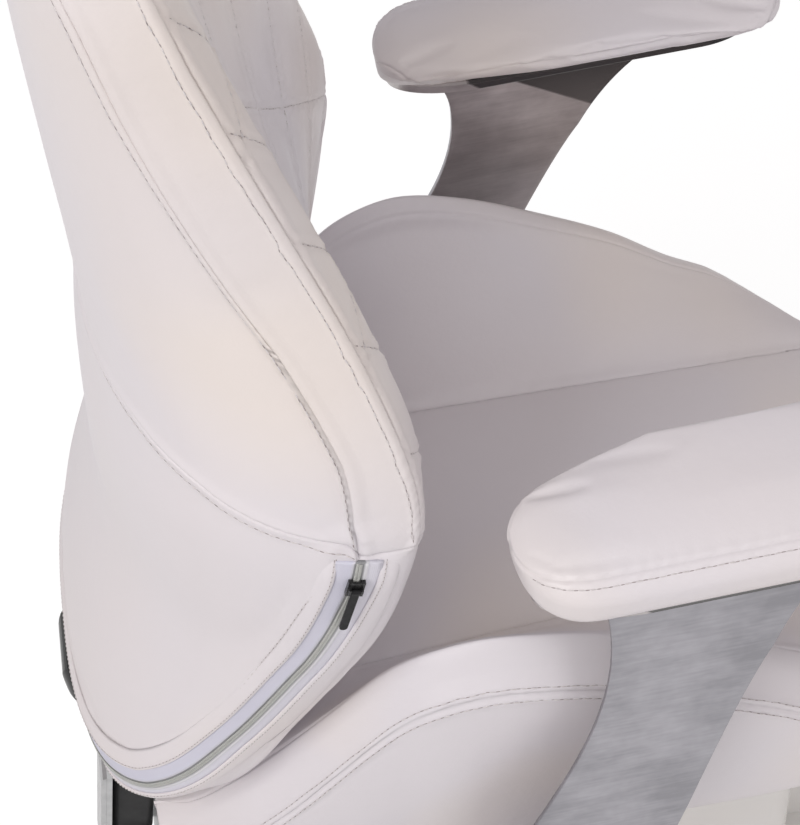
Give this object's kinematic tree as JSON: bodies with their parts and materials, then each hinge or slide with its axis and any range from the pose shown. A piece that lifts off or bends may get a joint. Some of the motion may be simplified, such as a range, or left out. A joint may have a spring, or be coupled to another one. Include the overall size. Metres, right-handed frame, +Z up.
{
  "type": "pedicure spa chair",
  "caption": "Upholstered reclining salon chair with arm pads on steel plates, sliding on a moulded spa base with foot bowl, faucet and adjustable footrest.",
  "frame": {"origin": "middle of the bounding box on the floor, under the feet", "axes": "+Z up, the sitter faces -Y, the chair's left is +X"},
  "size_m": [0.7556, 1.4966, 1.493],
  "materials": {
    "leather_white": "smooth white synthetic leather, satin",
    "base_white": "gloss white moulded acrylic",
    "panel_white": "matt white",
    "bowl_white": "gloss white acrylic",
    "rubber_black": "matt black rubber",
    "plastic_black": "matt black",
    "plastic_grey": "matt grey",
    "button_white": "gloss white",
    "brass_inlets": "turned brass",
    "chrome": "polished chrome",
    "steel_bright": "zinc plated steel",
    "steel_rails": "plain rolled steel",
    "arm_steel": "cloudy satin stainless steel",
    "bracket_silver": "silver paint",
    "frame_grey": "dark grey powder coat",
    "plywood": "plain birch plywood",
    "actuator_black": "satin black",
    "cover_black": "gloss black",
    "zip_tape": "satin woven tape",
    "zip_metal": "grey zip teeth",
    "zip_slider_black": "black enamelled",
    "pull_black": "matt black"
  },
  "bodies": {
    "base": {"plinth": "base_white", "base_tub": "base_white", "pipe_cover": "base_white", "base_feet": "rubber_black", "pedestal": "base_white", "connector_plate": "panel_white", "service_panel": "panel_white", "panel_screws": "steel_bright", "power_inlet": "plastic_black", "water_inlets": "brass_inlets", "drain_outlet": "plastic_grey", "slide_rails": "steel_rails", "bowl": "bowl_white", "bowl_drain": "chrome", "jet_cover": "chrome", "button_bezel": "chrome", "faucet_body": "chrome", "footrest_socket": "steel_bright"},
    "drain_plug": {"drain_plug": "chrome"},
    "jet_button": {"jet_button": "button_white"},
    "faucet_spout": {"faucet_spout": "chrome"},
    "faucet_cap": {"faucet_cap": "chrome"},
    "faucet_lever": {"faucet_lever": "chrome"},
    "footrest_stem": {"footrest_stem": "chrome"},
    "footrest": {"footrest_plate": "frame_grey", "footrest_pad": "leather_white"},
    "carriage": {"slide_runners": "steel_rails", "seat_frame": "frame_grey", "seat_pan": "plywood", "seat_centre": "leather_white", "seat_wing_left": "leather_white", "seat_wing_right": "leather_white", "arm_plate_left": "arm_steel", "arm_plate_right": "arm_steel", "arm_pad_left": "leather_white", "arm_pad_right": "leather_white", "arm_screws": "steel_bright", "arm_bolts": "steel_bright", "actuator_bracket": "bracket_silver", "actuator_pins": "steel_bright", "switch_housing": "plastic_black", "hinge_pins": "steel_bright"},
    "slide_lever": {"slide_lever": "frame_grey"},
    "switch_rocker": {"switch_rocker": "plastic_grey"},
    "back": {"back_frame": "frame_grey", "back_pad": "leather_white", "rear_cover": "cover_black", "zip_tape": "zip_tape", "zip_chain_teeth": "zip_metal", "zip_slider": "zip_slider_black"},
    "zip_pull": {"zip_pull": "pull_black"},
    "actuator": {"actuator_body": "actuator_black"},
    "actuator_rod": {"actuator_rod": "chrome"}
  },
  "joints": [
    {"name": "seat_slide", "type": "slide", "parent": "base", "child": "carriage", "axis": [0, -1, 0], "range_m": [0, 0.11]},
    {"name": "back_recline", "type": "hinge", "parent": "carriage", "child": "back", "pos_m": [0, 0.5875, 0.48], "axis": [-1, 0, 0], "range_deg": [0, 25]},
    {"name": "actuator_tilt", "type": "hinge", "parent": "carriage", "child": "actuator", "pos_m": [0, 0.7075, 0.125], "axis": [1, 0, 0], "range_deg": [0, 4.8]},
    {"name": "rod_slide", "type": "slide", "parent": "actuator", "child": "actuator_rod", "axis": [0, -0.2021, 0.9794], "range_m": [-0.0137, 0]},
    {"name": "footrest_height", "type": "slide", "parent": "base", "child": "footrest_stem", "axis": [0, 0, 1], "range_m": [0, 0.1]},
    {"name": "footrest_tilt", "type": "hinge", "parent": "footrest_stem", "child": "footrest", "pos_m": [0, -0.6885, 0.4], "axis": [1, 0, 0], "range_deg": [-20, 20]},
    {"name": "slide_lever_lift", "type": "hinge", "parent": "carriage", "child": "slide_lever", "pos_m": [-0.06, -0.1285, 0.413], "axis": [-1, 0, 0], "range_deg": [0, 20], "stiffness_Nm_per_rad": 1, "springref_deg": -17.19},
    {"name": "recline_switch", "type": "hinge", "parent": "carriage", "child": "switch_rocker", "pos_m": [-0.246, -0.0025, 0.416], "axis": [0, 1, 0], "range_deg": [-7, 7], "stiffness_Nm_per_rad": 0.1},
    {"name": "zip_pull_swing", "type": "hinge", "parent": "back", "child": "zip_pull", "pos_m": [-0.28998, 0.41348, 0.91479], "axis": [0.0437, 0.9528, 0.3005], "range_deg": [0, 150]},
    {"name": "faucet_spout_swivel", "type": "hinge", "parent": "base", "child": "faucet_spout", "pos_m": [0.22587, -0.49245, 0.39], "axis": [0, 0, 1], "range_deg": [-60, 60]},
    {"name": "faucet_mix", "type": "hinge", "parent": "base", "child": "faucet_cap", "pos_m": [0.22587, -0.49245, 0.4], "axis": [0, 0, 1], "range_deg": [-45, 45]},
    {"name": "faucet_lift", "type": "hinge", "parent": "faucet_cap", "child": "faucet_lever", "pos_m": [0.22587, -0.49245, 0.426], "axis": [0, -1, 0], "range_deg": [0, 25]},
    {"name": "drain_plug_lift", "type": "slide", "parent": "base", "child": "drain_plug", "axis": [0, 0, 1], "range_m": [0, 0.008]},
    {"name": "jet_button_press", "type": "slide", "parent": "base", "child": "jet_button", "axis": [0, 0, -1], "range_m": [0, 0.003], "stiffness_N_per_m": 400, "springref_m": -0.003}
  ],
  "couplings": [
    {"joint": "actuator_tilt", "follows": "back_recline", "ratio": 0.1902},
    {"joint": "rod_slide", "follows": "back_recline", "m_per_rad": -0.03111}
  ]
}
